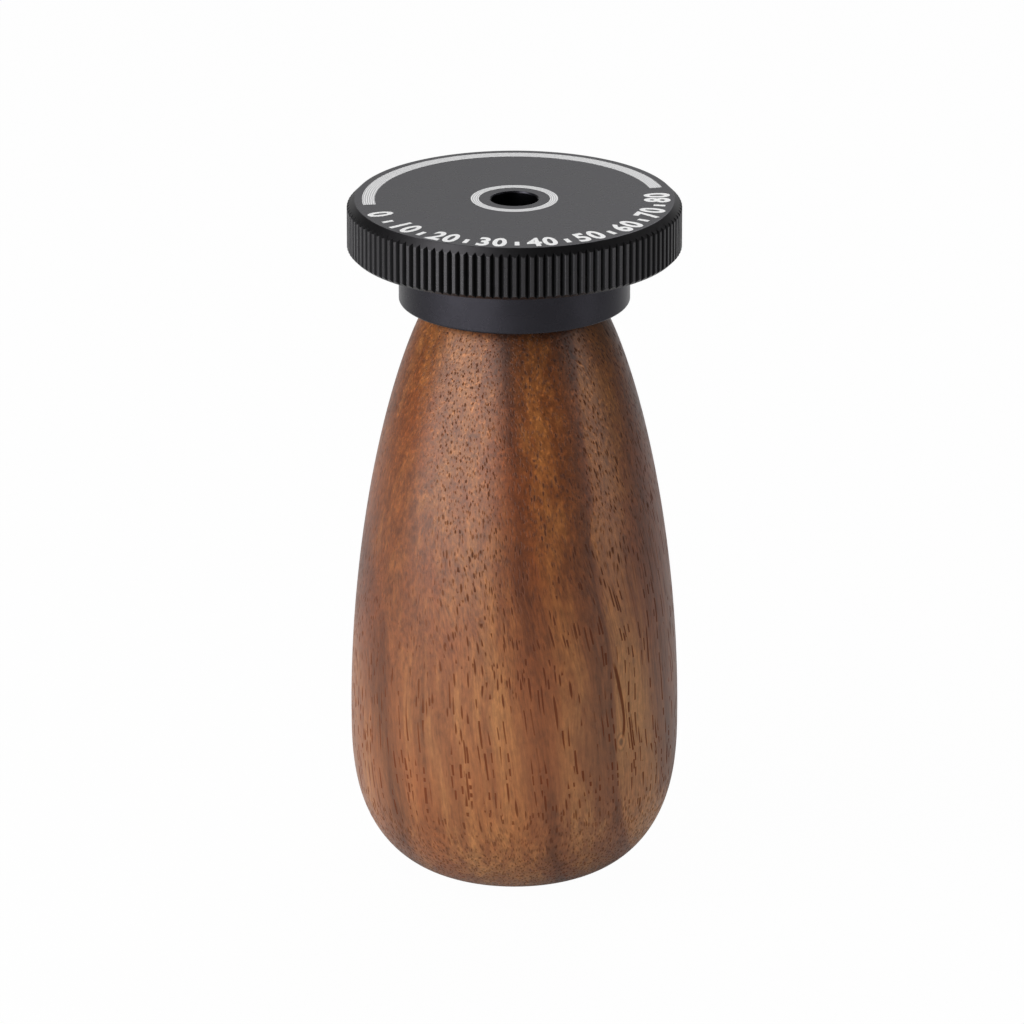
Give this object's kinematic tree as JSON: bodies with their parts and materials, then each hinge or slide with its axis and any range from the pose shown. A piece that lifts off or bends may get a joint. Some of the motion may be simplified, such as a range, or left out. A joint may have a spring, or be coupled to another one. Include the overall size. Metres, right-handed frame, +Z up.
{
  "type": "miniature painting handle",
  "caption": "Turned walnut grip for painting miniatures, with a black knurled turntable that spins on a shielded ball bearing.",
  "frame": {"origin": "centre of the flat foot that the handle stands on", "axes": "+Z up along the turning axis, from the foot to the turntable; the handle is round, so X and Y are equal"},
  "size_m": [0.037, 0.037, 0.078],
  "materials": {
    "walnut": "oiled satin",
    "black_anodised": "black anodised, satin",
    "brass": "as turned",
    "bearing_steel": "ground and polished",
    "pressed_steel": "pressed sheet",
    "zinc_steel": "zinc plated",
    "black_steel": "black oxide",
    "engraving": "filled engraving, matt"
  },
  "bodies": {
    "handle": {"handle_body": "walnut", "threaded_insert": "brass", "collar": "black_anodised", "screw_washer": "zinc_steel", "collar_screw": "black_steel", "bearing_outer_ring": "bearing_steel", "bearing_shield_lower": "pressed_steel", "bearing_shield_upper": "pressed_steel"},
    "turntable": {"turntable_disc": "black_anodised", "bearing_inner_ring": "bearing_steel"},
    "ball_cage": {"cage_half_lower": "pressed_steel", "cage_half_upper": "pressed_steel", "cage_rivets": "pressed_steel", "bearing_ball_1": "bearing_steel", "bearing_ball_2": "bearing_steel", "bearing_ball_3": "bearing_steel", "bearing_ball_4": "bearing_steel", "bearing_ball_5": "bearing_steel", "bearing_ball_6": "bearing_steel", "bearing_ball_7": "bearing_steel", "bearing_ball_8": "bearing_steel", "bearing_ball_9": "bearing_steel", "bearing_ball_10": "bearing_steel"}
  },
  "joints": [
    {"name": "turntable_spin", "type": "hinge", "parent": "handle", "child": "turntable", "pos_m": [0, 0, 0.0707], "axis": [0, 0, 1], "continuous": true},
    {"name": "cage_spin", "type": "hinge", "parent": "handle", "child": "ball_cage", "pos_m": [0, 0, 0.0707], "axis": [0, 0, 1], "continuous": true}
  ],
  "couplings": [
    {"joint": "cage_spin", "follows": "turntable_spin", "ratio": 0.4179}
  ]
}
